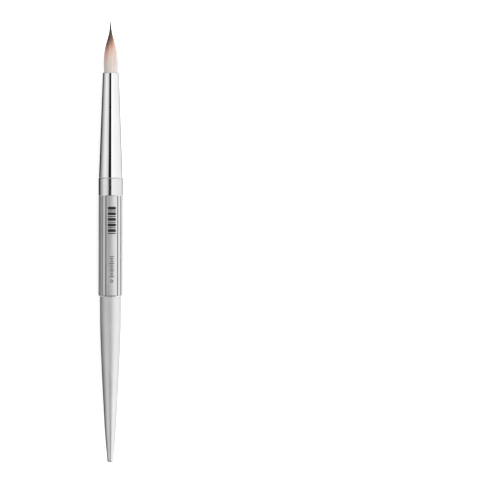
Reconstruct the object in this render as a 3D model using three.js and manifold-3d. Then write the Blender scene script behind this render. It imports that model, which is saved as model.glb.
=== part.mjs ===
// Fine detail brush with a screw-together metal handle. Millimetres, +Z up.
//
// The brush lies on the plane z = 0 with its axis along Y, tail at -Y and hair tip at +Y. Its
// label panel faces +Z. Lengths along the axis are "stations", measured from the tail's end.
// The head (hair, ferrule, collar) and the tail cone each screw into the grip barrel.

import * as THREE from 'three';
import { mergeVertices } from 'three/addons/utils/BufferGeometryUtils.js';
import Module from 'manifold-3d';

// ---- Driving dimensions -------------------------------------------------------------------

const LENGTH = 180;            // tail end to hair tip
const BARREL_START = 67.9;     // station of the barrel's rear face
const BARREL_END = 108.75;     // station of the barrel's front face
const RING_END = 116.0;        // station of the collar ring's front face
const MOUTH = 158.9;           // station of the ferrule's mouth

const BARREL_RADIUS = 4.92;
const RING_RADIUS = 4.957;
const FERRULE_BASE_RADIUS = 4.81;
const FERRULE_MOUTH_RADIUS = 3.285;
const FERRULE_WALL = 0.35;
const TAIL_TOP_RADIUS = 4.325;

const GAP = 0.3;               // between faces that meet along the axis
const FIT = 0.2;               // radial clearance of a glued or pressed piece
const THREAD_FIT = 0.25;       // radial clearance of a stud in its thread

const GROOVE_PITCH = 20;       // degrees between the grip's long grooves
const GROOVE_ANGLE = 7;        // degrees that one groove spans
const GROOVE_DEPTH = 0.3;
const PANEL_ANGLE = 60;        // degrees from groove to groove across a panel, front and back
const PANEL_SINK = 0.2;        // how far a panel's flatter middle lies inside the full circle

const STUD_RADIUS = 2.45;      // M5 stud
const STUD_REACH = 5.6;        // how far a stud reaches into the barrel; the thread lets go 1 mm sooner
const INSERT_RADIUS = 3.45;
const INSERT_LENGTH = 8;
const INSERT_DEPTH = 1.0;      // how far an insert sits below the barrel's end face
const WASHER_THICKNESS = 0.5;
const WASHER_INNER = 2.75;
const WASHER_OUTER = 3.4;
const EDGE = 0.1;              // small broken edge of a turned piece

const HAIR_ROOT_DEPTH = 13;    // how far the hair reaches into the ferrule
const HAIR_ROOT_RADIUS = 2.6;
const SEGMENTS = 48;           // facets round the outer pieces
const INNER_SEGMENTS = 32;     // facets round the hidden pieces

const BARREL_BORE = INSERT_RADIUS + FIT;
// A facet, not a corner, of the ring touches the plane that the brush lies on.
const AXIS_HEIGHT = RING_RADIUS * Math.cos(Math.PI / SEGMENTS);

// ---- Shape helpers ------------------------------------------------------------------------

const degrees = THREE.MathUtils.degToRad;

/** Turns an outline of [radius, station] pairs round the brush's axis. */
function turned(outline, segments = SEGMENTS) {
  const points = outline.map(([radius, station]) => new THREE.Vector2(radius, station - LENGTH / 2));
  return new THREE.LatheGeometry(points, segments, Math.PI / segments);
}

/** A plain ring or tube between two stations, with its four edges broken. */
function turnedRing(inner, outer, start, end, edge = EDGE, segments = SEGMENTS) {
  return turned([
    [inner + edge, start],
    [outer - edge, start],
    [outer, start + edge],
    [outer, end - edge],
    [outer - edge, end],
    [inner + edge, end],
    [inner, end - edge],
    [inner, start + edge],
    [inner + edge, start],
  ], segments);
}

/** A smooth outline through a few [radius, station] points. */
function smoothOutline(knots, steps) {
  const curve = new THREE.SplineCurve(knots.map(([radius, station]) => new THREE.Vector2(radius, station)));
  return curve.getPoints(steps).map((point) => [Math.max(point.x, 0), point.y]);
}

const wasm = await Module();
wasm.setup();

/** Makes a closed geometry into a solid that can be joined and cut. */
function toSolid(geometry) {
  const bare = geometry.clone();
  bare.deleteAttribute('normal');
  bare.deleteAttribute('uv');
  const merged = mergeVertices(bare, 1e-4);
  const corners = merged.index.array;
  const kept = [];
  for (let i = 0; i < corners.length; i += 3) {
    const [a, b, c] = [corners[i], corners[i + 1], corners[i + 2]];
    if (a !== b && b !== c && c !== a) {
      kept.push(a, b, c);
    }
  }
  return new wasm.Manifold(new wasm.Mesh({
    numProp: 3,
    vertProperties: new Float32Array(merged.attributes.position.array),
    triVerts: new Uint32Array(kept),
  }));
}

/** Makes a solid back into a geometry that can be shown. */
function toGeometry(solid) {
  const mesh = solid.getMesh();
  const geometry = new THREE.BufferGeometry();
  geometry.setAttribute('position', new THREE.BufferAttribute(mesh.vertProperties, 3));
  geometry.setIndex(new THREE.BufferAttribute(mesh.triVerts, 1));
  const faceted = geometry.toNonIndexed();
  faceted.computeVertexNormals();
  return faceted;
}

// ---- Materials ----------------------------------------------------------------------------

const mirrorPlate = { color: 0xe8e8ea, roughness: 0.05, metalness: 1 };
const polishedSteel = { color: 0xd4d5d8, roughness: 0.18, metalness: 1 };
const satinAluminium = { color: 0xc9cacf, roughness: 0.38, metalness: 1 };
const brass = { color: 0xb5924c, roughness: 0.3, metalness: 1 };
const steel = { color: 0x9a9ca0, roughness: 0.35, metalness: 1 };
const blackRubber = { color: 0x1d1d1f, roughness: 0.75, metalness: 0 };
const paleHair = { color: 0xd9c8be, roughness: 0.7, metalness: 0 };
const whiteThread = { color: 0xded8cc, roughness: 0.9, metalness: 0 };
const amberEpoxy = { color: 0xb98a3e, roughness: 0.25, metalness: 0 };

const brush = new THREE.Group();
brush.position.z = AXIS_HEIGHT;

function addPiece(name, geometry, finish) {
  const piece = new THREE.Mesh(geometry, new THREE.MeshStandardMaterial(finish));
  piece.name = name;
  brush.add(piece);
}

// ---- Hair, its binding and its glue --------------------------------------------------------

/** The tuft: a bound root, a full belly and a long hollow-sided needle point. */
function hairBundle() {
  const root = MOUTH - HAIR_ROOT_DEPTH;
  const exposed = smoothOutline([
    [2.7, MOUTH],
    [2.93, MOUTH + 2.2],
    [2.77, MOUTH + 7.1],
    [2.02, MOUTH + 10.7],
    [1.12, MOUTH + 14.0],
    [0.42, MOUTH + 17.1],
    [0.15, MOUTH + 19.6],
    [0, LENGTH],
  ], 16);
  return turned([[0, root], [HAIR_ROOT_RADIUS, root], ...exposed]);
}

/** Thread wound side by side round the root: one ridge for each turn. */
function bindingThread() {
  const turns = 5;
  const threadThickness = 0.36;
  const inner = HAIR_ROOT_RADIUS + FIT;
  const start = MOUTH - 10.6;
  const outline = [[inner, start]];
  for (let turn = 0; turn < turns; turn += 1) {
    const base = start + turn * threadThickness;
    outline.push([inner + threadThickness * 0.55, base + threadThickness * 0.1]);
    outline.push([inner + threadThickness, base + threadThickness * 0.5]);
    outline.push([inner + threadThickness * 0.55, base + threadThickness * 0.9]);
  }
  outline.push([inner, start + turns * threadThickness], [inner, start]);
  return turned(outline, INNER_SEGMENTS);
}

/** The ferrule's inner radius at a station. */
function ferruleBore(station) {
  const share = (station - RING_END) / (MOUTH - RING_END);
  return THREE.MathUtils.lerp(FERRULE_BASE_RADIUS, FERRULE_MOUTH_RADIUS, share) - FERRULE_WALL;
}

/** Glue that fills the ferrule behind the root and cups the root's end. */
function epoxyPlug() {
  const back = MOUTH - 18;
  const rim = MOUTH - 11.2;
  const seat = MOUTH - HAIR_ROOT_DEPTH - FIT;
  const cup = HAIR_ROOT_RADIUS + FIT;
  return turned([
    [0, back],
    [ferruleBore(back) - FIT, back],
    [ferruleBore(rim) - FIT, rim],
    [cup, rim],
    [cup, seat],
    [0, seat],
  ], INNER_SEGMENTS);
}

// ---- Ferrule, plug, stud and collar ring ---------------------------------------------------

/** Straight-tapered tube with a small rolled lip at its mouth. */
function ferrule() {
  const base = RING_END + GAP;
  const lip = FERRULE_WALL / 2;
  const outline = [[ferruleBore(base), base], [FERRULE_BASE_RADIUS, base]];
  const lipSteps = 4;
  for (let step = 0; step <= lipSteps; step += 1) {
    const turn = Math.PI * step / lipSteps;
    outline.push([
      FERRULE_MOUTH_RADIUS - lip + lip * Math.cos(turn),
      MOUTH - lip + lip * Math.sin(turn),
    ]);
  }
  outline.push([ferruleBore(base), base]);
  return turned(outline);
}

/** Turned plug: a tapered spigot in the ferrule and a narrower shank through the collar ring. */
function ferrulePlug() {
  const spigotStart = RING_END + GAP;
  const spigotEnd = spigotStart + 12;
  const shankStart = BARREL_END + GAP;
  const shank = INSERT_RADIUS - EDGE;
  const bore = STUD_RADIUS + FIT;
  const boreEnd = shankStart + 9;
  return turned([
    [0, boreEnd],
    [bore, boreEnd],
    [bore, shankStart],
    [shank, shankStart],
    [shank, spigotStart],
    [ferruleBore(spigotStart) - FIT, spigotStart],
    [ferruleBore(spigotEnd) - FIT, spigotEnd],
    [0, spigotEnd],
  ], INNER_SEGMENTS);
}

/** Polished ring round the plug's shank, with a broad bevel on its front edge. */
function collarRing() {
  const start = BARREL_END + GAP;
  const inner = INSERT_RADIUS + FIT;
  const bevel = 0.35;
  return turned([
    [inner, start],
    [RING_RADIUS - EDGE, start],
    [RING_RADIUS, start + EDGE],
    [RING_RADIUS, RING_END - bevel],
    [RING_RADIUS - bevel * 0.6, RING_END],
    [inner, RING_END],
    [inner, start],
  ]);
}

/** Headless stud with a chamfer at each end. */
function stud(start, end) {
  const chamfer = 0.5;
  return turned([
    [0, start],
    [STUD_RADIUS - chamfer, start],
    [STUD_RADIUS, start + chamfer],
    [STUD_RADIUS, end - chamfer],
    [STUD_RADIUS - chamfer, end],
    [0, end],
  ], INNER_SEGMENTS);
}

// ---- Grip barrel and its inserts ----------------------------------------------------------

/** The grip's cross-section: a plain, flatter panel front and back, and V grooves between. */
function gripSection() {
  const section = new THREE.Shape();
  const corners = [];
  const panelSteps = 10;
  const landSteps = 3;
  const half = GROOVE_ANGLE / 2;
  const panelEdge = PANEL_ANGLE / 2 - half;
  const addCorner = (angle, radius) => {
    corners.push([radius * Math.sin(degrees(angle)), radius * Math.cos(degrees(angle))]);
  };
  for (const middle of [0, 180]) {
    for (let step = 0; step <= panelSteps; step += 1) {
      const across = 2 * step / panelSteps - 1;
      const sink = PANEL_SINK * (1 - across * across);
      addCorner(middle + across * panelEdge, BARREL_RADIUS - sink);
    }
    const firstGroove = middle + PANEL_ANGLE / 2;
    const lastGroove = middle + 180 - PANEL_ANGLE / 2;
    for (let groove = firstGroove; groove <= lastGroove; groove += GROOVE_PITCH) {
      addCorner(groove, BARREL_RADIUS - GROOVE_DEPTH);
      for (let step = 0; step <= landSteps && groove < lastGroove; step += 1) {
        const across = step / landSteps;
        addCorner(groove + half + across * (GROOVE_PITCH - GROOVE_ANGLE), BARREL_RADIUS);
      }
    }
  }
  corners.forEach(([x, z], i) => (i === 0 ? section.moveTo(x, z) : section.lineTo(x, z)));
  section.closePath();
  return section;
}

/** Grooved aluminium tube with a chamfered rear edge. */
function gripBarrel() {
  const length = BARREL_END - BARREL_START;
  const rearChamfer = 0.35;
  const past = 1;
  const bar = new THREE.ExtrudeGeometry(gripSection(), { depth: length, bevelEnabled: false });
  bar.rotateX(Math.PI / 2);
  bar.translate(0, BARREL_END - LENGTH / 2, 0);
  const envelope = turned([
    [0, BARREL_START],
    [BARREL_RADIUS - rearChamfer, BARREL_START],
    [BARREL_RADIUS + past, BARREL_START + rearChamfer + past],
    [BARREL_RADIUS + past, BARREL_END],
    [0, BARREL_END],
  ]);
  const bore = turned([
    [0, BARREL_START - past],
    [BARREL_BORE, BARREL_START - past],
    [BARREL_BORE, BARREL_END + past],
    [0, BARREL_END + past],
  ], INNER_SEGMENTS);
  return toGeometry(toSolid(bar).intersect(toSolid(envelope)).subtract(toSolid(bore)));
}

/** Threaded bush between two stations. */
function insert(start, end) {
  return turnedRing(STUD_RADIUS + THREAD_FIT, INSERT_RADIUS, start, end, 2 * EDGE, INNER_SEGMENTS);
}

// ---- Tail cone ----------------------------------------------------------------------------

/** Long curved taper with a blunt rounded end and a tapped hole in its top. */
function tailCone() {
  const top = BARREL_START - GAP;
  const bore = STUD_RADIUS + FIT;
  const boreEnd = top - 9;
  const side = smoothOutline([
    [0.9, 0],
    [1.2, 0.7],
    [1.56, 4.9],
    [1.92, 9.0],
    [2.9, 25.3],
    [3.71, 41.6],
    [4.24, 57.0],
    [TAIL_TOP_RADIUS, top],
  ], 18);
  return turned([
    [0, 0],
    ...side,
    [bore, top],
    [bore, boreEnd],
    [0, boreEnd],
  ]);
}

// ---- The assembly -------------------------------------------------------------------------

const frontStudStart = BARREL_END - STUD_REACH;
const rearStudEnd = BARREL_START + STUD_REACH;
const studGrip = 8;            // how far a stud is fixed in the plug or the tail cone
const frontInsertEnd = BARREL_END - INSERT_DEPTH;
const rearInsertStart = BARREL_START + INSERT_DEPTH;
const washerInset = (INSERT_DEPTH - WASHER_THICKNESS) / 2;

addPiece('hair_bundle', hairBundle(), paleHair);
addPiece('binding_thread', bindingThread(), whiteThread);
addPiece('epoxy_plug', epoxyPlug(), amberEpoxy);
addPiece('ferrule', ferrule(), mirrorPlate);
addPiece('ferrule_plug', ferrulePlug(), brass);
addPiece('collar_ring', collarRing(), polishedSteel);
addPiece('head_stud', stud(frontStudStart, BARREL_END + GAP + studGrip), steel);
addPiece(
  'head_washer',
  turnedRing(
    WASHER_INNER, WASHER_OUTER,
    frontInsertEnd + washerInset, frontInsertEnd + washerInset + WASHER_THICKNESS,
    EDGE, INNER_SEGMENTS,
  ),
  blackRubber,
);
addPiece('grip_barrel', gripBarrel(), satinAluminium);
addPiece('front_insert', insert(frontInsertEnd - INSERT_LENGTH, frontInsertEnd), brass);
addPiece('rear_insert', insert(rearInsertStart, rearInsertStart + INSERT_LENGTH), brass);
addPiece(
  'tail_washer',
  turnedRing(
    WASHER_INNER, WASHER_OUTER,
    BARREL_START + washerInset, BARREL_START + washerInset + WASHER_THICKNESS,
    EDGE, INNER_SEGMENTS,
  ),
  blackRubber,
);
addPiece('tail_stud', stud(BARREL_START - GAP - studGrip, rearStudEnd), steel);
addPiece('tail_cone', tailCone(), satinAluminium);

export default brush;
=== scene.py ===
"""Fine detail brush: the looks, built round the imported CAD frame. Metres, +Z up, brush along Y."""

import math
import random

import bpy
import numpy as np
from mathutils import Matrix, Vector


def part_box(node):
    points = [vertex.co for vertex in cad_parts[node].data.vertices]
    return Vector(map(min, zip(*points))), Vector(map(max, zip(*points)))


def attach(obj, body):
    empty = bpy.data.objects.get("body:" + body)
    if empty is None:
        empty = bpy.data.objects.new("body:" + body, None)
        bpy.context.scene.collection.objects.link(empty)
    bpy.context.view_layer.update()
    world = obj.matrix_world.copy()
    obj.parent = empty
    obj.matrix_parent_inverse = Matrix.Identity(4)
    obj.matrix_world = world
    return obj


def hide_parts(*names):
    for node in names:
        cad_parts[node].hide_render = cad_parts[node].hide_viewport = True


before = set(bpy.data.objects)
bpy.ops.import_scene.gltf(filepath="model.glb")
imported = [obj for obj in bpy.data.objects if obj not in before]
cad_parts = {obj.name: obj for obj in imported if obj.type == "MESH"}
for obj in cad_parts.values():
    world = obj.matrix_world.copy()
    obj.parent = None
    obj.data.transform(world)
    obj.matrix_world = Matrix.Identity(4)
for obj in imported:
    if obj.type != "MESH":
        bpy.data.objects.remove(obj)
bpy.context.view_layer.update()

MM = 0.001
SEED = 20

# ---- Places, read from the frame ------------------------------------------------------------


def span(node):
    """The stretch of the brush's axis that a node takes up: (tail-side end, tip-side end)."""
    low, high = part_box(node)
    return low.y, high.y


def radius_of(node):
    """Half of a node's width across the brush."""
    low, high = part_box(node)
    return (high.x - low.x) / 2


AXIS_Z = sum(corner.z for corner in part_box("collar_ring")) / 2
HAIR_ROOT, HAIR_TIP = span("hair_bundle")
FERRULE_BASE, MOUTH = span("ferrule")
RING_START, RING_END = span("collar_ring")
BARREL_START, BARREL_END = span("grip_barrel")
TAIL_END, TAIL_TOP = span("tail_cone")

HAIR_RADIUS = radius_of("hair_bundle")
HAIR_ROOT_RADIUS = 2.6 * MM
FERRULE_RADIUS = radius_of("ferrule")
RING_RADIUS = radius_of("collar_ring")
BARREL_RADIUS = 4.92 * MM        # its box is narrower, because a groove lies on each side
TAIL_RADIUS = radius_of("tail_cone")
STUD_RADIUS = radius_of("head_stud")
BUSH_RADIUS = radius_of("front_insert")
WASHER_RADIUS = radius_of("head_washer")

FERRULE_MOUTH_RADIUS = 3.285 * MM
FERRULE_WALL = 0.35 * MM
GROOVE_PITCH = 20                # degrees between the grip's grooves
GROOVE_ANGLE = 7                 # degrees that one groove spans
GROOVE_DEPTH = 0.3 * MM
PANEL_ANGLE = 60                 # degrees from groove to groove across a panel, front and back
PANEL_SINK = 0.2 * MM            # how far a panel's flatter middle lies inside the full circle
PANEL_TURN = math.radians(6)     # how far the panel is turned to the right of the camera
FINE = 144                       # facets round the outer pieces

# ---- Mesh helpers -----------------------------------------------------------------------------


def grid_faces(rows, columns, wrap_rows=False, wrap_columns=True):
    """Quads of a grid whose points are numbered row by row."""
    faces = []
    for row in range(rows if wrap_rows else rows - 1):
        for column in range(columns if wrap_columns else columns - 1):
            beside = (column + 1) % columns
            above = (row + 1) % rows
            faces.append(
                (
                    row * columns + column,
                    row * columns + beside,
                    above * columns + beside,
                    above * columns + column,
                )
            )
    return faces


def make_piece(name, vertices, faces, body, material, replaced=(), crisp=35):
    """A smooth-shaded mesh object that rides on a body and may stand for CAD nodes."""
    mesh = bpy.data.meshes.new(name)
    mesh.from_pydata([tuple(vertex) for vertex in vertices], [], faces)
    mesh.validate()
    mesh.shade_smooth()
    if crisp:
        mesh.set_sharp_from_angle(angle=math.radians(crisp))
    piece = bpy.data.objects.new(name, mesh)
    bpy.context.scene.collection.objects.link(piece)
    mesh.materials.append(material)
    if crisp:
        weighted = piece.modifiers.new("weighted normals", "WEIGHTED_NORMAL")
        weighted.keep_sharp = True
    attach(piece, body)
    if replaced:
        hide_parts(*replaced)
    return piece


def add_point_values(piece, name, values):
    """Gives each of the mesh's points a number that materials can read."""
    attribute = piece.data.attributes.new(name, "FLOAT", "POINT")
    attribute.data.foreach_set("value", values)


def around(radius, y, angle):
    """A point at an angle from the label panel's middle, turning towards +X."""
    return (radius * math.sin(angle), y, AXIS_Z + radius * math.cos(angle))


def turned(name, outline, body, material, replaced=(), segments=FINE, radius_at=None):
    """Turns a closed outline of (radius, y) points round the axis. Points on the axis become poles.

    The outline runs from the tail side, out and towards the tip, and back down the inside.
    radius_at(radius, y, angle) may change a point's radius.
    """
    closed = outline[0][0] > 0
    ring_points = [point for point in outline if point[0] > 0]
    vertices = []
    for radius, y in ring_points:
        for step in range(segments):
            angle = math.tau * step / segments
            size = radius_at(radius, y, angle) if radius_at else radius
            vertices.append(around(size, y, angle))
    faces = grid_faces(len(ring_points), segments, wrap_rows=closed)
    faces = [tuple(reversed(face)) for face in faces]
    if not closed:
        first = len(vertices)
        vertices.append((0, outline[0][1], AXIS_Z))
        last = first + 1
        vertices.append((0, outline[-1][1], AXIS_Z))
        top = (len(ring_points) - 1) * segments
        for step in range(segments):
            beside = (step + 1) % segments
            faces.append((first, beside, step))
            faces.append((last, top + step, top + beside))
    return make_piece(name, vertices, faces, body, material, replaced)


def arc(centre, radius, start, end, steps=5):
    """Points on a small arc in the outline's plane; angles in degrees, 0 pointing outwards."""
    points = []
    for step in range(steps + 1):
        angle = math.radians(start + (end - start) * step / steps)
        points.append((centre[0] + radius * math.cos(angle), centre[1] + radius * math.sin(angle)))
    return points


def tube_outline(inner, outer, start, end, edge):
    """A tube's closed outline with all four edges rounded."""
    return (
        arc((outer - edge, start + edge), edge, -90, 0)
        + arc((outer - edge, end - edge), edge, 0, 90)
        + arc((inner + edge, end - edge), edge, 90, 180)
        + arc((inner + edge, start + edge), edge, 180, 270)
    )


def smooth_curve(knots, steps):
    """A smooth curve through (radius, y) knots."""
    positions = np.array([knot[1] for knot in knots])
    radii = np.array([knot[0] for knot in knots])
    slopes = np.gradient(radii, positions)
    points = []
    for y in np.linspace(positions[0], positions[-1], steps):
        index = min(int(np.searchsorted(positions, y, side="right")) - 1, len(knots) - 2)
        width = positions[index + 1] - positions[index]
        t = (y - positions[index]) / width
        blend = 3 * t * t - 2 * t * t * t
        lean_start = t * (1 - t) ** 2 * width * slopes[index]
        lean_end = -t * t * (1 - t) * width * slopes[index + 1]
        radius = radii[index] * (1 - blend) + radii[index + 1] * blend + lean_start + lean_end
        points.append((max(float(radius), 0.0), float(y)))
    return points


# ---- Material helpers -------------------------------------------------------------------------


def srgb(red, green, blue):
    """A colour given as 0 to 255 display values, as the linear colour that Blender takes."""
    channels = [value / 255 for value in (red, green, blue)]
    linear = [c / 12.92 if c <= 0.04045 else ((c + 0.055) / 1.055) ** 2.4 for c in channels]
    return (*linear, 1)


class Nodes:
    """Adds and links shader nodes. place holds the coordinates that the textures use."""

    def __init__(self, tree, place="Object"):
        self.tree = tree
        self.place = tree.nodes.new("ShaderNodeTexCoord").outputs[place]

    def add(self, kind, inputs=None, **settings):
        """A new node. Each input is a number, a colour, or another node's output to link."""
        node = self.tree.nodes.new(kind)
        for key, value in settings.items():
            setattr(node, key, value)
        for key, value in (inputs or {}).items():
            if isinstance(value, bpy.types.NodeSocket):
                self.tree.links.new(value, node.inputs[key])
            else:
                node.inputs[key].default_value = value
        return node

    def noise(self, stretch, detail=3, roughness=0.55):
        """Noise whose cells per metre are given for each axis."""
        scaled = self.add("ShaderNodeMapping", {"Vector": self.place, "Scale": stretch})
        noise = self.add(
            "ShaderNodeTexNoise",
            {"Vector": scaled.outputs[0], "Scale": 1.0, "Detail": detail, "Roughness": roughness},
        )
        return noise.outputs["Fac"]

    def remap(self, value, low, high, start=0.3, end=0.7):
        """value from start to end becomes low to high."""
        remap = self.add(
            "ShaderNodeMapRange",
            {"Value": value, "From Min": start, "From Max": end, "To Min": low, "To Max": high},
        )
        return remap.outputs[0]

    def math(self, operation, first, second):
        """The result of a Math node."""
        return self.add("ShaderNodeMath", {0: first, 1: second}, operation=operation).outputs[0]

    def multiply(self, first, second):
        """Two colours multiplied channel by channel."""
        product = self.add(
            "ShaderNodeVectorMath", {0: first, 1: second}, operation="MULTIPLY"
        )
        return product.outputs[0]

    def mix(self, factor, first, second):
        """A colour between first, at 0, and second, at 1."""
        mix = self.add("ShaderNodeMix", {0: factor, 6: first, 7: second}, data_type="RGBA")
        return mix.outputs[2]

    def ramp(self, value, stops):
        """A colour ramp with (position, colour) stops, lowest first."""
        ramp = self.add("ShaderNodeValToRGB", {0: value})
        elements = ramp.color_ramp.elements
        for element, (position, colour) in zip((elements[0], elements[-1]), (stops[0], stops[-1])):
            element.position = position
            element.color = colour
        for position, colour in stops[1:-1]:
            elements.new(position).color = colour
        return ramp.outputs[0]


class Paint(Nodes):
    """The nodes of a material with one principled shader."""

    def __init__(self, name):
        self.material = bpy.data.materials.new(name)
        self.material.use_nodes = True
        super().__init__(self.material.node_tree)
        self.shader = self.tree.nodes["Principled BSDF"]

    def bump(self, height, distance, strength=1.0):
        """Bump of a real height in metres."""
        bump = self.add(
            "ShaderNodeBump", {"Height": height, "Distance": distance, "Strength": strength}
        )
        self.link(bump.outputs[0], "Normal")

    def link(self, value, socket):
        """Links an output to the shader's socket, or sets a plain value there."""
        if isinstance(value, bpy.types.NodeSocket):
            self.tree.links.new(value, self.shader.inputs[socket])
        else:
            self.shader.inputs[socket].default_value = value


def metal(
    name, dark, light, rough_low, rough_high, grain, bump=0.0, grain_tint=0.5, groove_shade_colour=None,
    worn=None,
):
    """A metal with a fine grain: grain is noise cells per metre along X, Y and Z.

    A groove colour paints shade into the grooves' floors: painted shade, full where the mesh's
    groove value is 1. worn is (y, y, share): from one y to the other, the roughness grows from that
    share to the whole.
    """
    nodes = Paint(name)
    grain_value = nodes.noise(grain, detail=4)
    cloud = nodes.noise((220, 90, 220), detail=2)
    tint = nodes.math("ADD", nodes.math("MULTIPLY", grain_value, grain_tint),
                      nodes.math("MULTIPLY", cloud, 1 - grain_tint))
    colour = nodes.mix(nodes.remap(tint, 0, 1), dark, light)
    if groove_shade_colour:
        # Painted shade: the grooves' floors are mixed towards the darker groove colour.
        groove_shade = nodes.add("ShaderNodeAttribute", attribute_name="groove_shade").outputs["Fac"]
        colour = nodes.mix(groove_shade, colour, groove_shade_colour)
    nodes.link(colour, "Base Color")
    roughness = nodes.remap(tint, rough_low, rough_high)
    if worn:
        y = nodes.add("ShaderNodeSeparateXYZ", {0: nodes.place}).outputs["Y"]
        roughness = nodes.math("MULTIPLY", roughness, nodes.remap(y, worn[2], 1, worn[0], worn[1]))
    nodes.link(roughness, "Roughness")
    nodes.link(1.0, "Metallic")
    if bump:
        nodes.bump(grain_value, bump)
    return nodes.material


mirror_plate = metal(
    "mirror_plate", srgb(240, 240, 241), srgb(248, 248, 249), 0.02, 0.045, (2500, 120, 2500)
)
polished_collar = metal(
    "polished_collar", srgb(226, 226, 227), srgb(236, 236, 237), 0.13, 0.145, (40, 9000, 40)
)
# Drawn aluminium with painted shade in its grooves: their floors are mixed towards a darker grey.
drawn_aluminium = metal(
    "drawn_aluminium", srgb(224, 224, 225), srgb(242, 242, 244), 0.38, 0.48, (9000, 260, 9000),
    bump=1.6e-6, grain_tint=0.7, groove_shade_colour=srgb(120, 120, 122),
)
blasted_aluminium = metal(
    "blasted_aluminium", srgb(226, 226, 227), srgb(244, 244, 245), 0.52, 0.62, (9000, 9000, 9000),
    bump=2.0e-6, grain_tint=0.6, worn=(TAIL_END, TAIL_TOP, 0.55),
)
turned_brass = metal(
    "turned_brass", srgb(176, 136, 66), srgb(214, 178, 104), 0.22, 0.36, (80, 12000, 80), bump=2e-6
)
stud_steel = metal(
    "stud_steel", srgb(120, 122, 126), srgb(168, 170, 174), 0.25, 0.42, (4000, 4000, 4000),
    bump=1e-6,
)


def speckled(name, grain, detail, dark, light, rough_low, rough_high, bump):
    """A material whose fine noise changes its colour, its roughness and its height a little."""
    nodes = Paint(name)
    speckle = nodes.noise(grain, detail)
    nodes.link(nodes.mix(nodes.remap(speckle, 0, 1), dark, light), "Base Color")
    nodes.link(nodes.remap(speckle, rough_low, rough_high), "Roughness")
    nodes.bump(speckle, bump)
    return nodes.material


def ink(name, light):
    """Printed ink of a grey from 0 to 255, very slightly blue."""
    dark_fleck = srgb(light - 8, light - 8, light - 6)
    light_fleck = srgb(light + 8, light + 8, light + 12)
    return speckled(name, (9000, 9000, 9000), 4, dark_fleck, light_fleck, 0.38, 0.6, 2e-6)


rubber = speckled(
    "washer_rubber", (12000, 12000, 12000), 4, srgb(18, 18, 20), srgb(44, 44, 46), 0.55, 0.8, 6e-6
)
set_epoxy = speckled(
    "set_epoxy", (700, 700, 700), 5, srgb(150, 98, 34), srgb(214, 168, 92), 0.12, 0.3, 1e-5
)
waxed_thread = speckled(
    "waxed_thread", (16000, 3000, 16000), 4, srgb(196, 188, 170), srgb(240, 236, 224), 0.6, 0.85,
    1e-5,
)
grip_ink = ink("grip_ink", 22)
fine_ink = ink("fine_ink", 56)


# The hair's colour from the ferrule's mouth, at 0, to the point, at 1.
HAIR_COLOURS = (
    (0.0, srgb(217, 212, 207)),
    (0.2, srgb(220, 210, 203)),
    (0.36, srgb(222, 205, 195)),
    (0.5, srgb(213, 178, 160)),
    (0.59, srgb(184, 140, 122)),
    (0.67, srgb(120, 88, 80)),
    (0.76, srgb(76, 54, 56)),
    (0.84, srgb(44, 36, 40)),
    (0.95, srgb(26, 26, 28)),
)


def hair_material(name, darker):
    """Hair that changes colour along its length, sooner or later from clump to clump.

    The mesh's "clump" value says how early the brown starts, less so near the point; its lean from
    side to side is painted shade and light. Its "strand" value shades single strands towards the
    darker colour.
    """
    nodes = Paint(name)
    strand = nodes.add("ShaderNodeAttribute", attribute_name="strand").outputs["Fac"]
    clump = nodes.add("ShaderNodeAttribute", attribute_name="clump").outputs["Fac"]
    y = nodes.add("ShaderNodeSeparateXYZ", {0: nodes.place}).outputs["Y"]
    share = nodes.remap(y, 0.0, 1.0, MOUTH, HAIR_TIP)
    settled = nodes.remap(share, 0.26, 0.07, 0.55, 0.8)
    stagger = nodes.math("MULTIPLY", nodes.math("SUBTRACT", clump, 0.5), settled)
    wobble = nodes.math("MULTIPLY", nodes.math("SUBTRACT", strand, 0.5), 0.08)
    shifted = nodes.math("ADD", share, nodes.math("ADD", stagger, wobble))
    streak = nodes.noise((7000, 160, 7000), detail=3)
    shade = nodes.math("MULTIPLY", nodes.math("ADD", strand, streak), 0.5)
    darkness = nodes.remap(shade, 0.0, 0.34, 0.62, 0.2)
    nodes.link(nodes.mix(darkness, nodes.ramp(shifted, HAIR_COLOURS), darker), "Base Color")
    nodes.link(nodes.remap(streak, 0.42, 0.6), "Roughness")
    nodes.bump(streak, 1.2e-5)
    return nodes.material


hair_fibre = hair_material("hair_fibre", srgb(132, 112, 102))
# A darker copy of the hair for the core under the filaments: painted shade for the inside of the
# tuft.
shaded_hair_core = hair_material("shaded_hair_core", srgb(96, 80, 74))

# ---- Hair -------------------------------------------------------------------------------------

EXPOSED = HAIR_TIP - MOUTH
# The tuft's outline: (share of the exposed length, share of the hair bundle's radius).
TUFT = ((0, 0.985), (0.14, 1.03), (0.24, 1.02), (0.33, 0.965), (0.43, 0.87), (0.51, 0.735),
        (0.585, 0.59), (0.66, 0.435), (0.74, 0.26), (0.82, 0.158), (0.89, 0.112), (0.95, 0.078),
        (1, 0.03))
tuft_curve = smooth_curve([(radius, share) for share, radius in TUFT], 80)
tuft_shares = [share for radius, share in tuft_curve]
tuft_radii = [radius for radius, share in tuft_curve]


def tuft_radius(share):
    """The tuft's radius at a share of the exposed length. Inside the ferrule it stays full."""
    return HAIR_RADIUS * float(np.interp(share, tuft_shares, tuft_radii))


def tuft_centre(share):
    """The middle of the tuft at a share of its length: the point leans a little to the left."""
    lean = -0.23 * MM * max(share, 0)
    return Vector((lean, MOUTH + share * EXPOSED, 0))


def browning_with_painted_side_shade(angle, chance):
    """How early a clump turns brown: soonest on the left of the label, latest on the right. The
    spread from clump to clump is the hair's own colour; the bias from side to side is painted shade
    on the left, away from the lamp, and painted light on the right.
    """
    side = math.sin(angle - PANEL_TURN)
    return 0.56 - (0.62 if side > 0 else 0.4) * side + 0.3 * (chance - 0.5)


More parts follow.
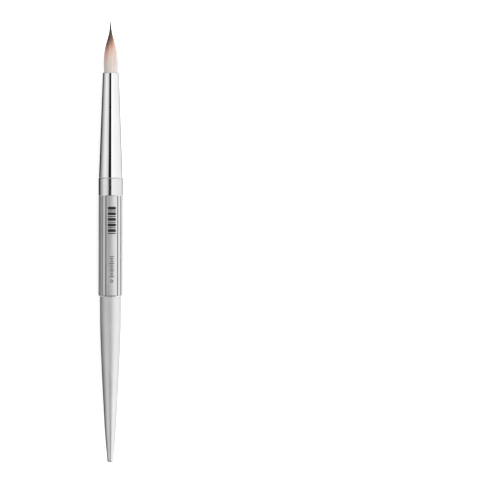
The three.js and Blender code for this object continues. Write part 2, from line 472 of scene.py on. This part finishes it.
FILAMENT_RADIUS = 0.07 * MM
FILAMENT_ROOT = -0.12    # where the filaments start inside the ferrule, as a share of the tuft
FILAMENT_TAPER = 0.15    # the share of the tuft over which each filament thins to its end


def filament_ring(share, reach, turn, depth, sides):
    """One ring of points round a filament.

    reach is the share of the tuft at which the filament ends, and depth how far it lies inside the
    tuft's outline, as a share of the radius.
    """
    full = tuft_radius(max(share, 0))
    ending = min(1.0, max(reach - share, 0) / FILAMENT_TAPER)
    radius = FILAMENT_RADIUS * max(full / HAIR_RADIUS, 0.1) ** 0.6 * max(ending, 0.06) ** 0.6
    sink = depth + 0.12 * (1 - ending)
    inside = 0.02 * MM if share < 0.02 else 0.0
    distance = max(full * (1 - sink) - 0.6 * radius - inside, 0)
    centre = tuft_centre(share) + Vector(around(distance, 0, turn))
    outward = Vector((math.sin(turn), 0, math.cos(turn)))
    across = Vector((math.cos(turn), 0, -math.sin(turn)))
    points = []
    for side in range(sides):
        spin = math.tau * side / sides
        points.append(centre + radius * (outward * math.cos(spin) + across * math.sin(spin)))
    return points


def hair_filaments(count=1500, clumps=60, steps=17, sides=4):
    """Tapered filaments laid close over the tuft, gathered in clumps that draw to one point."""
    draw = random.Random(SEED)
    clump_chance = [draw.random() for _ in range(clumps)]
    clump_sink = [draw.uniform(0.0, 0.035) for _ in range(clumps)]
    vertices, faces, strand_values, clump_values = [], [], [], []
    for index in range(count):
        turn = math.tau * (index + draw.uniform(-0.4, 0.4)) / count
        clump = int(turn / math.tau * clumps) % clumps
        middle = math.tau * (clump + 0.5) / clumps
        depth = clump_sink[clump] + draw.uniform(0.0, 0.07)
        reach = 1 - 0.42 * draw.random() ** 1.4
        shade = draw.random()
        drift = draw.uniform(-0.05, 0.05)
        first = len(vertices)
        for step in range(steps):
            share = FILAMENT_ROOT + (reach - FILAMENT_ROOT) * (step / (steps - 1)) ** 0.85
            gather = 0.25 * min(max(share, 0), 1)
            bent = turn + (middle - turn) * gather + drift * math.sin(3 * share + shade * 6)
            vertices += filament_ring(share, reach, bent, depth, sides)
        for face in grid_faces(steps, sides):
            faces.append(tuple(first + corner for corner in face))
        faces.append(tuple(first + side for side in reversed(range(sides))))
        faces.append(tuple(first + (steps - 1) * sides + side for side in range(sides)))
        strand_values += [shade] * (steps * sides)
        # Each clump's browning, with painted shade on the tuft's left and painted light on its
        # right.
        clump_values += [browning_with_painted_side_shade(turn, clump_chance[clump])] * (steps * sides)
    piece = make_piece(
        "hair_filaments", vertices, faces, "head", hair_fibre, ("hair_bundle",), crisp=0
    )
    add_point_values(piece, "strand", strand_values)
    add_point_values(piece, "clump", clump_values)


def hair_core():
    """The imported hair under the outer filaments, furrowed lengthwise, from root to point."""
    draw = random.Random(SEED + 1)
    furrows = [draw.uniform(0.0, 0.05) for _ in range(FINE)]
    shades = [draw.random() for _ in range(FINE)]
    root = HAIR_ROOT_RADIUS
    outline = [(0, HAIR_ROOT), (root, HAIR_ROOT), (root + 0.05 * MM, MOUTH - 0.5 * MM)]
    for share in np.linspace(0.0, 0.985, 34):
        outline.append((max(0.93 * tuft_radius(share), 0.05 * MM), MOUTH + share * EXPOSED))
    outline.append((0, HAIR_TIP))

    def furrowed(radius, y, angle):
        """The radius with the furrow at that angle taken off."""
        return radius * (1 - furrows[int(round(angle / math.tau * FINE)) % FINE])

    # The core wears the darker hair: painted shade between and under the filaments.
    piece = turned(
        "hair_core", outline, "head", shaded_hair_core, ("hair_bundle",), radius_at=furrowed
    )
    for vertex in piece.data.vertices:
        vertex.co.x += tuft_centre((vertex.co.y - MOUTH) / EXPOSED).x
    rings = len(outline) - 2
    # The core's browning, with the same painted shade and light from side to side.
    browns = [browning_with_painted_side_shade(math.tau * step / FINE, shades[step]) for step in range(FINE)]
    add_point_values(piece, "strand", shades * rings + [0.5, 0.5])
    add_point_values(piece, "clump", browns * rings + [0.5, 0.5])


hair_filaments()
hair_core()


def wound_thread(turns=5, sides=8, steps_per_turn=36):
    """Binding thread wound round the root in close turns."""
    start, end = span("binding_thread")
    coil = radius_of("binding_thread") - 0.18 * MM
    thread = (end - start) / turns / 2
    steps = turns * steps_per_turn
    vertices = []
    for step in range(steps + 1):
        angle = math.tau * step / steps_per_turn
        y = start + thread + (end - start - 2 * thread) * step / steps
        for side in range(sides):
            spin = math.tau * side / sides
            vertices.append(
                around(coil + thread * math.cos(spin), y + thread * math.sin(spin), angle)
            )
    faces = [tuple(reversed(face)) for face in grid_faces(steps + 1, sides)]
    faces.append(tuple(range(sides)))
    faces.append(tuple(steps * sides + side for side in reversed(range(sides))))
    make_piece(
        "wound_thread", vertices, faces, "head", waxed_thread,
        ("binding_thread",),
    )


wound_thread()
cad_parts["epoxy_plug"].material_slots[0].material = set_epoxy

# ---- Ferrule, collar ring and plug ------------------------------------------------------------


def plated_ferrule():
    """Thin tapered tube with a rolled lip at the mouth."""
    base = FERRULE_BASE - 0.24 * MM
    lip = FERRULE_WALL / 2
    edge = 0.06 * MM
    outline = arc((FERRULE_RADIUS - edge, base + edge), edge, -90, 0)
    outline += arc((FERRULE_MOUTH_RADIUS - lip, MOUTH - lip), lip, 0, 180, 12)
    outline.append((FERRULE_RADIUS - FERRULE_WALL, base + edge))
    outline.append((FERRULE_RADIUS - FERRULE_WALL + edge, base))
    turned("plated_ferrule", outline, "head", mirror_plate, ("ferrule",), 192)


def collar():
    """Polished ring with a broad front bevel and a fine rear edge."""
    start = RING_START - 0.22 * MM
    inner = BUSH_RADIUS + 0.2 * MM
    bevel = 0.34 * MM
    edge = 0.08 * MM
    outline = arc((RING_RADIUS - edge, start + edge), edge, -90, 0)
    outline += arc((RING_RADIUS - bevel, RING_END - bevel), bevel, 0, 90, 8)
    outline += [(inner, RING_END), (inner, start)]
    turned("polished_collar_ring", outline, "head", polished_collar,
           ("collar_ring",), 192)


def turned_plug():
    """Shank through the collar ring and tapered spigot in the ferrule, bored for the stud.

    Its rear face and shank show when the head is off the barrel.
    """
    shank_start, spigot_end = span("ferrule_plug")
    spigot_start = FERRULE_BASE
    shank = BUSH_RADIUS - 0.1 * MM
    bore = STUD_RADIUS + 0.2 * MM
    bore_end = shank_start + 9 * MM
    spigot = radius_of("ferrule_plug")
    taper = (FERRULE_RADIUS - FERRULE_MOUTH_RADIUS) / (MOUTH - FERRULE_BASE)
    tip = spigot - 12 * MM * taper
    outline = [
        (0, bore_end),
        (bore, bore_end),
        (bore, shank_start + 0.3 * MM),
        (bore + 0.3 * MM, shank_start),
        (shank - 0.15 * MM, shank_start),
        (shank, shank_start + 0.15 * MM),
        (shank, spigot_start),
        (spigot, spigot_start),
        (tip, spigot_end - 0.3 * MM),
        (tip - 0.3 * MM, spigot_end),
        (0, spigot_end),
    ]
    turned("turned_plug", outline, "head", turned_brass, ("ferrule_plug",), 96)


plated_ferrule()
collar()
turned_plug()

# ---- Threads, bushes and washers --------------------------------------------------------------

THREAD_PITCH = 0.8 * MM
THREAD_DEPTH = 0.42 * MM         # of a stud's thread
BUSH_THREAD_DEPTH = 0.18 * MM    # of the thread in a bush's bore


def thread_ridge(y, angle):
    """0 at the bottom of a right-hand thread and 1 at its crest."""
    phase = (y / THREAD_PITCH - angle / math.tau) % 1.0
    return min(max(1.6 * (1 - abs(2 * phase - 1)) - 0.3, 0.0), 1.0)


def threaded_stud(name, node, body):
    """Headless stud: a helical thread that fades into a chamfer at each end."""
    start, end = span(node)
    chamfer = 0.5 * MM
    rows = int((end - start) / THREAD_PITCH * 8)
    outline = [(0, start)]
    outline += [(STUD_RADIUS, float(y)) for y in np.linspace(start, end, rows)]
    outline.append((0, end))

    def thread(radius, y, angle):
        """The thread's surface, cut back by the end chamfers."""
        limit = radius - chamfer + min(y - start, end - y, chamfer)
        return min(radius - THREAD_DEPTH * (1 - thread_ridge(y, angle)), limit)

    turned(name, outline, body, stud_steel, (node,), 48, radius_at=thread)


def threaded_bush(name, node):
    """Brass bush with a threaded bore and chamfered mouths."""
    start, end = span(node)
    bore = STUD_RADIUS + 0.25 * MM
    chamfer = 0.35 * MM
    edge = 0.15 * MM
    rows = int((end - start) / THREAD_PITCH * 6)
    outline = arc((BUSH_RADIUS - edge, start + edge), edge, -90, 0)
    outline += arc((BUSH_RADIUS - edge, end - edge), edge, 0, 90)
    outline += [(bore, float(y)) for y in np.linspace(end, start, rows)]

    def thread(radius, y, angle):
        """The bore's surface with its thread; the outside stays plain."""
        if radius > bore + edge:
            return radius
        mouth = max(chamfer - min(y - start, end - y), 0)
        if mouth > 0:
            return bore + mouth
        return bore - BUSH_THREAD_DEPTH * thread_ridge(y, angle)

    turned(name, outline, "handle", turned_brass, (node,), 48, radius_at=thread)


def washer(name, node, body):
    """Seal ring with rounded edges."""
    start, end = span(node)
    outline = tube_outline(STUD_RADIUS + 0.3 * MM, WASHER_RADIUS, start, end, 0.2 * MM)
    turned(name, outline, body, rubber, (node,), 96)


threaded_stud("head_thread", "head_stud", "head")
threaded_stud("tail_thread", "tail_stud", "tail")
threaded_bush("front_bush", "front_insert")
threaded_bush("rear_bush", "rear_insert")
washer("head_seal_ring", "head_washer", "head_seal")
washer("tail_seal_ring", "tail_washer", "tail_seal")

# ---- Grip barrel ------------------------------------------------------------------------------


def grip_angles():
    """Angles round the grip and the grooves' middles, in degrees. They lie closest in grooves."""
    first = PANEL_ANGLE / 2
    half = GROOVE_ANGLE / 2
    angles = []
    grooves = []
    for middle in (0, 180):
        angles += list(middle + np.linspace(half - first, first - half, 24))
        row = middle + np.arange(first, 180 - first + 0.1, GROOVE_PITCH)
        for groove in row:
            angles += list(np.linspace(groove - half, groove + half, 11)[1:-1])
            if groove < row[-1]:
                angles += list(np.linspace(groove + half, groove + GROOVE_PITCH - half, 6))
        grooves += list(row)
    return angles, np.array(grooves)


def panel_radius(angle):
    """The grip's radius at an angle in degrees from the label's middle, grooves left out."""
    from_middle = min(angle % 180, -angle % 180)
    across = min(from_middle / (PANEL_ANGLE / 2 - GROOVE_ANGLE / 2), 1)
    return BARREL_RADIUS - PANEL_SINK * (1 - across * across)


def fluted_grip():
    """Tube with rounded lengthwise grooves between two flatter, plain panels."""
    angles, grooves = grip_angles()
    half = GROOVE_ANGLE / 2
    bore = BUSH_RADIUS + 0.2 * MM
    chamfer = 0.35 * MM
    edge = 0.05 * MM
    surface = []
    # How deep each point lies in a groove; the material paints shade into the grooves' floors by it.
    groove_shade = []
    for angle in angles:
        offset = float(np.min(np.abs(grooves - angle % 360)))
        share = 0.0
        if offset < half:
            share = math.cos(0.5 * math.pi * (offset / half) ** 1.6)
        groove_shade.append(share)
        surface.append(panel_radius(angle) - GROOVE_DEPTH * share)
    envelope = []
    for share in (0, 0.02, 0.5, 0.98):
        envelope.append((BARREL_RADIUS - chamfer * (1 - share), BARREL_START + chamfer * share))
    envelope.append((BARREL_RADIUS, BARREL_START + chamfer * 1.1))
    envelope.append((BARREL_RADIUS, BARREL_END - 2 * edge))
    envelope += arc((BARREL_RADIUS - edge, BARREL_END - edge), edge, 0, 90, 4)
    vertices = []
    for limit, y in envelope:
        for angle, radius in zip(angles, surface):
            vertices.append(around(min(limit, radius), y, math.radians(angle)))
    for y in (BARREL_END, BARREL_START):
        for angle in angles:
            vertices.append(around(bore, y, math.radians(angle)))
    faces = grid_faces(len(envelope) + 2, len(angles), wrap_rows=True)
    faces = [tuple(reversed(face)) for face in faces]
    piece = make_piece("fluted_grip", vertices, faces, "handle",
                       drawn_aluminium, ("grip_barrel",), crisp=40)
    add_point_values(piece, "groove_shade", groove_shade * len(envelope) + [0.0] * (2 * len(angles)))


fluted_grip()

# ---- Generic printed marks on the label panel --------------------------------------------------

INK_LIFT = 0.012 * MM    # how far the ink stands proud of the panel
INK_SINK = 0.02 * MM     # how far each patch reaches into it


def ink_solid(rows, wrap):
    """A thin closed patch on the panel. rows are lists of (across, along) points in metres."""
    columns = len(rows[0])
    count = len(rows) * columns
    vertices = []
    for lift in (INK_LIFT, -INK_SINK):
        for row in rows:
            for across, along in row:
                angle = across / BARREL_RADIUS
                vertices.append(around(panel_radius(math.degrees(angle)) + lift, along, angle))
    top = grid_faces(len(rows), columns, wrap_columns=wrap)
    faces = list(top)
    faces += [tuple(count + corner for corner in reversed(face)) for face in top]
    borders = [[row * columns + column for column in range(columns)] for row in (0, len(rows) - 1)]
    loops = [(borders[0], wrap), (list(reversed(borders[1])), wrap)]
    if not wrap:
        loops.append(([row * columns + columns - 1 for row in range(len(rows))], False))
        loops.append(([row * columns for row in reversed(range(len(rows)))], False))
    for loop, closed in loops:
        for index in range(len(loop) if closed else len(loop) - 1):
            here = loop[index]
            there = loop[(index + 1) % len(loop)]
            faces.append((there, here, here + count, there + count))
    return vertices, faces


def stadium(centre_along, half_across, half_along, steps=16):
    """A bar across the panel with rounded ends, as two rows of points."""
    low, high = [], []
    for step in range(steps + 1):
        share = -math.cos(math.pi * step / steps)
        across = half_across * share
        inset = max(abs(across) - (half_across - half_along), 0)
        height = math.sqrt(max(half_along**2 - inset**2, (0.08 * half_along) ** 2))
        low.append((across, centre_along - height))
        high.append((across, centre_along + height))
    return [low, high]


def ring_mark(centre_along, inner, outer, steps=28):
    """A ring, as two rows of points that each close on themselves."""
    rows = []
    for radius in (inner, outer):
        row = []
        for step in range(steps):
            turn = math.tau * step / steps
            row.append((radius * math.sin(turn), centre_along + radius * math.cos(turn)))
        rows.append(row)
    return rows


def ink_piece(name, patches, material):
    """Joins several patches into one piece. Each patch is (rows, wraps)."""
    vertices, faces = [], []
    for rows, wrap in patches:
        first = len(vertices)
        points, quads = ink_solid(rows, wrap)
        vertices += points
        faces += [tuple(first + corner for corner in quad) for quad in quads]
    make_piece(name, vertices, faces, "handle", material, crisp=40)


def along_grip(share):
    """A place on the brush's axis, from the barrel's rear face, at 0, to its front face, at 1."""
    return BARREL_START + share * (BARREL_END - BARREL_START)


def bar_marks(pairs=5):
    """Pairs of one thick and one thin bar, near the barrel's front."""
    start = along_grip(0.615)
    pitch = (along_grip(0.895) - start) / pairs
    half_across = 1.8 * MM
    bars = []
    for pair in range(pairs):
        middle = start + (pair + 0.5) * pitch
        bars.append((stadium(middle + 0.16 * pitch, half_across, 0.265 * pitch), False))
        bars.append((stadium(middle - 0.34 * pitch, half_across, 0.085 * pitch), False))
    ink_piece("grip_mark_bars", bars, grip_ink)


def tick_marks(count=13):
    """A row of fine ticks, every fourth one longer, and a small ring, near the barrel's rear."""
    start = along_grip(0.19)
    pitch = (along_grip(0.39) - start) / (count - 1)
    ticks = []
    for tick in range(count):
        half_across = 1.05 * MM if tick % 4 == 0 else 0.7 * MM
        ticks.append((stadium(start + tick * pitch, half_across, 0.16 * MM), False))
    ticks.append((ring_mark(along_grip(0.148), 0.36 * MM, 0.66 * MM), True))
    ink_piece("grip_mark_ticks", ticks, fine_ink)


bar_marks()
tick_marks()

# ---- Tail cone --------------------------------------------------------------------------------


def tapered_tail():
    """Long taper with a blunt rounded end, a fine top edge and a tapped hole."""
    bore = STUD_RADIUS + 0.2 * MM
    bore_end = TAIL_TOP - 9 * MM
    edge = 0.12 * MM
    top = TAIL_TOP + 0.12 * MM
    side = smooth_curve(
        [
            (1.28 * MM, TAIL_END + 1.5 * MM),
            (1.56 * MM, TAIL_END + 4.9 * MM),
            (1.92 * MM, TAIL_END + 9.0 * MM),
            (2.9 * MM, TAIL_END + 25.3 * MM),
            (3.71 * MM, TAIL_END + 41.6 * MM),
            (4.22 * MM, TAIL_END + 56.0 * MM),
            (TAIL_RADIUS, top - 2 * edge),
        ],
        60,
    )
    outline = [(0, TAIL_END), (0.3 * MM, TAIL_END + 0.01 * MM)]
    outline += arc((0.45 * MM, TAIL_END + 0.75 * MM), 0.75 * MM, -75, -8, 10)
    outline += side
    outline += arc((TAIL_RADIUS - edge, top - edge), edge, 0, 90)
    outline += [(bore, top), (bore, bore_end), (0, bore_end)]
    turned("tapered_tail", outline, "tail", blasted_aluminium,
           ("tail_cone",), 160)


tapered_tail()

# ---- Floor, light and camera ------------------------------------------------------------------

FRAME_WIDTH = 195.8 * MM       # width of the picture on the brush's own scale
BRUSH_LEFT = 52.77 * MM         # how far the brush lies left of the picture's middle
BRUSH_LOW = 0.7 * MM           # how far its middle lies below the picture's middle
BRUSH_LEAN = math.radians(0.1)   # the tip leans this far to the right


def pale_floor():
    """Plain pale light table. Reflections don't see it: they see the studio all round."""
    half = 3.0
    corners = [(-half, -half, 0), (half, -half, 0), (half, half, 0), (-half, half, 0)]
    mesh = bpy.data.meshes.new("floor")
    mesh.from_pydata(corners, [], [(0, 1, 2, 3)])
    floor = bpy.data.objects.new("floor", mesh)
    bpy.context.scene.collection.objects.link(floor)
    nodes = Paint("floor_paint")
    cloud = nodes.noise((30, 30, 30))
    paint = nodes.mix(nodes.remap(cloud, 0, 1), srgb(250, 250, 250), srgb(252, 252, 252))
    nodes.link(paint, "Base Color")
    nodes.link(0.9, "Roughness")
    nodes.link((1, 1, 1, 1), "Emission Color")
    nodes.link(0.48, "Emission Strength")
    mesh.materials.append(nodes.material)
    floor.visible_glossy = False


# The studio as polished metal mirrors it: (degrees round the brush's axis from the camera,
# positive to the right; display brightness from 0 to 255).
STUDIO_BANDS = (
    (-180, 8),
    (-150, 14),
    (-139, 40),
    (-126, 90),
    (-110, 145),
    (-95, 185),
    (-80, 213),
    (-68, 236),
    (-57, 240),
    (-44, 232),
    (-32, 214),
    (-25, 190),
    (-20, 110),
    (-18.5, 6),
    (4.5, 6),
    (5.5, 252),
    (15, 259),
    (30, 252),
    (60, 247),
    (95, 243),
    (125, 236),
    (150, 150),
    (180, 8),
)
FLAG_SKEW = math.radians(110)   # how far the flag swings to the right towards the tail's end
MIRROR_LOSS = 0.93              # how much of the studio's light the plated metal gives back
# Further along the brush the left of the studio is darker: (degrees, share of the light).
FAR_BANDS = ((-180, 0.2), (-115, 0.22), (-85, 0.34), (-62, 0.66), (-42, 1.0), (0, 1.1), (60, 1.12),
             (120, 1.12), (180, 0.4))
# The studio seen slantwise along the brush: plainer, paler bands.
SLANT_BANDS = ((-180, 110), (-120, 150), (-100, 190), (-75, 235), (-50, 245), (-30, 205), (-18, 80),
               (-6, 80), (6, 220), (30, 245), (80, 240), (105, 190), (125, 150), (180, 110))
# The studio's two ends, from the tail's end to the tip's: (Y of the direction, share of the light).
END_BANDS = ((-1, 0.12), (-0.9, 0.4), (-0.75, 1.0), (0.8, 1.0), (1, 0.6))


def grey(value):
    """A neutral colour of a linear value."""
    return (value, value, value, 1)


def round_brush(bands, lightness):
    """Ramp stops round the brush's axis, from (degrees, value) bands."""
    return [((degrees + 180) / 360, grey(lightness(value))) for degrees, value in bands]


def mirrored(brightness):
    """The light that a polished surface shows at a display brightness from 0 to 255."""
    return srgb(brightness, 0, 0)[0] / MIRROR_LOSS


def studio_world():
    """White studio with a narrow dark flag overhead and grey falling off to the left.

    Reflections see the bands, the camera sees plain white behind the table, and everything else
    is lit by an even white surround.
    """
    world = bpy.data.worlds.new("studio")
    world.use_nodes = True
    world.node_tree.nodes.clear()
    nodes = Nodes(world.node_tree, "Generated")
    direction = nodes.add("ShaderNodeSeparateXYZ", {0: nodes.place}).outputs
    angle = nodes.math("ARCTAN2", direction["X"], direction["Z"])
    behind = nodes.math("MAXIMUM", nodes.math("MINIMUM", direction["Y"], 0.0), -0.25)
    skewed = nodes.math("ADD", angle, nodes.math("MULTIPLY", behind, FLAG_SKEW))
    turn = nodes.remap(skewed, 0, 1, -math.pi - PANEL_TURN, math.pi - PANEL_TURN)
    along = nodes.math("ABSOLUTE", direction["Y"], 0.0)
    farness = nodes.remap(along, 0, 1, 0.1, 0.22)
    far = nodes.ramp(turn, round_brush(FAR_BANDS, float))
    share = nodes.mix(farness, grey(1.0), far)
    light = nodes.multiply(nodes.ramp(turn, round_brush(STUDIO_BANDS, mirrored)), share)
    slant = nodes.ramp(turn, round_brush(SLANT_BANDS, mirrored))
    light = nodes.mix(nodes.remap(along, 0, 1, 0.36, 0.55), light, slant)
    ends = [((y + 1) / 2, grey(share)) for y, share in END_BANDS]
    light = nodes.multiply(light, nodes.ramp(nodes.remap(direction["Y"], 0, 1, -1, 1), ends))
    banded = nodes.add("ShaderNodeBackground", {"Color": light})
    even = nodes.add("ShaderNodeBackground", {"Color": grey(1.0), "Strength": 0.8})
    backdrop = nodes.add("ShaderNodeBackground", {"Color": grey(1.0)})
    path = nodes.add("ShaderNodeLightPath").outputs
    lit = nodes.add(
        "ShaderNodeMixShader",
        {0: path["Is Glossy Ray"], 1: even.outputs[0], 2: banded.outputs[0]},
    )
    seen = nodes.add(
        "ShaderNodeMixShader",
        {0: path["Is Camera Ray"], 1: lit.outputs[0], 2: backdrop.outputs[0]},
    )
    nodes.add("ShaderNodeOutputWorld", {"Surface": seen.outputs[0]})
    bpy.context.scene.world = world


def soft_lamp(name, place, target, size, power):
    """A large soft lamp that lights without showing in reflections."""
    data = bpy.data.lights.new(name, "AREA")
    data.shape = "SQUARE"
    data.size = size
    data.energy = power
    lamp = bpy.data.objects.new(name, data)
    bpy.context.scene.collection.objects.link(lamp)
    lamp.location = place
    lamp.rotation_euler = (Vector(target) - Vector(place)).to_track_quat("-Z", "Y").to_euler()
    lamp.visible_glossy = False
    lamp.visible_camera = False


def photo_camera():
    """Parallel view from above, rolled round the brush's axis so that the panel turns right."""
    data = bpy.data.cameras.new("camera")
    data.type = "ORTHO"
    data.ortho_scale = FRAME_WIDTH
    data.clip_end = 20
    camera = bpy.data.objects.new("camera", data)
    bpy.context.scene.collection.objects.link(camera)
    towards = Vector((-math.sin(PANEL_TURN), 0, math.cos(PANEL_TURN)))
    level = Vector((math.cos(PANEL_TURN), 0, math.sin(PANEL_TURN)))
    right = level * math.cos(BRUSH_LEAN) + Vector((0, math.sin(BRUSH_LEAN), 0))
    up = towards.cross(right)
    middle = Vector((0, (TAIL_END + HAIR_TIP) / 2, AXIS_Z))
    place = middle + right * BRUSH_LEFT + up * BRUSH_LOW + towards * 0.8
    facing = Matrix((right, up, towards)).transposed().to_4x4()
    camera.matrix_world = Matrix.Translation(place) @ facing
    bpy.context.scene.camera = camera


pale_floor()
studio_world()
soft_lamp("key", (1.0, 0.3, 1.4), (0, 0, 0), 1.2, 20)
photo_camera()
bpy.context.scene.view_settings.view_transform = "Standard"
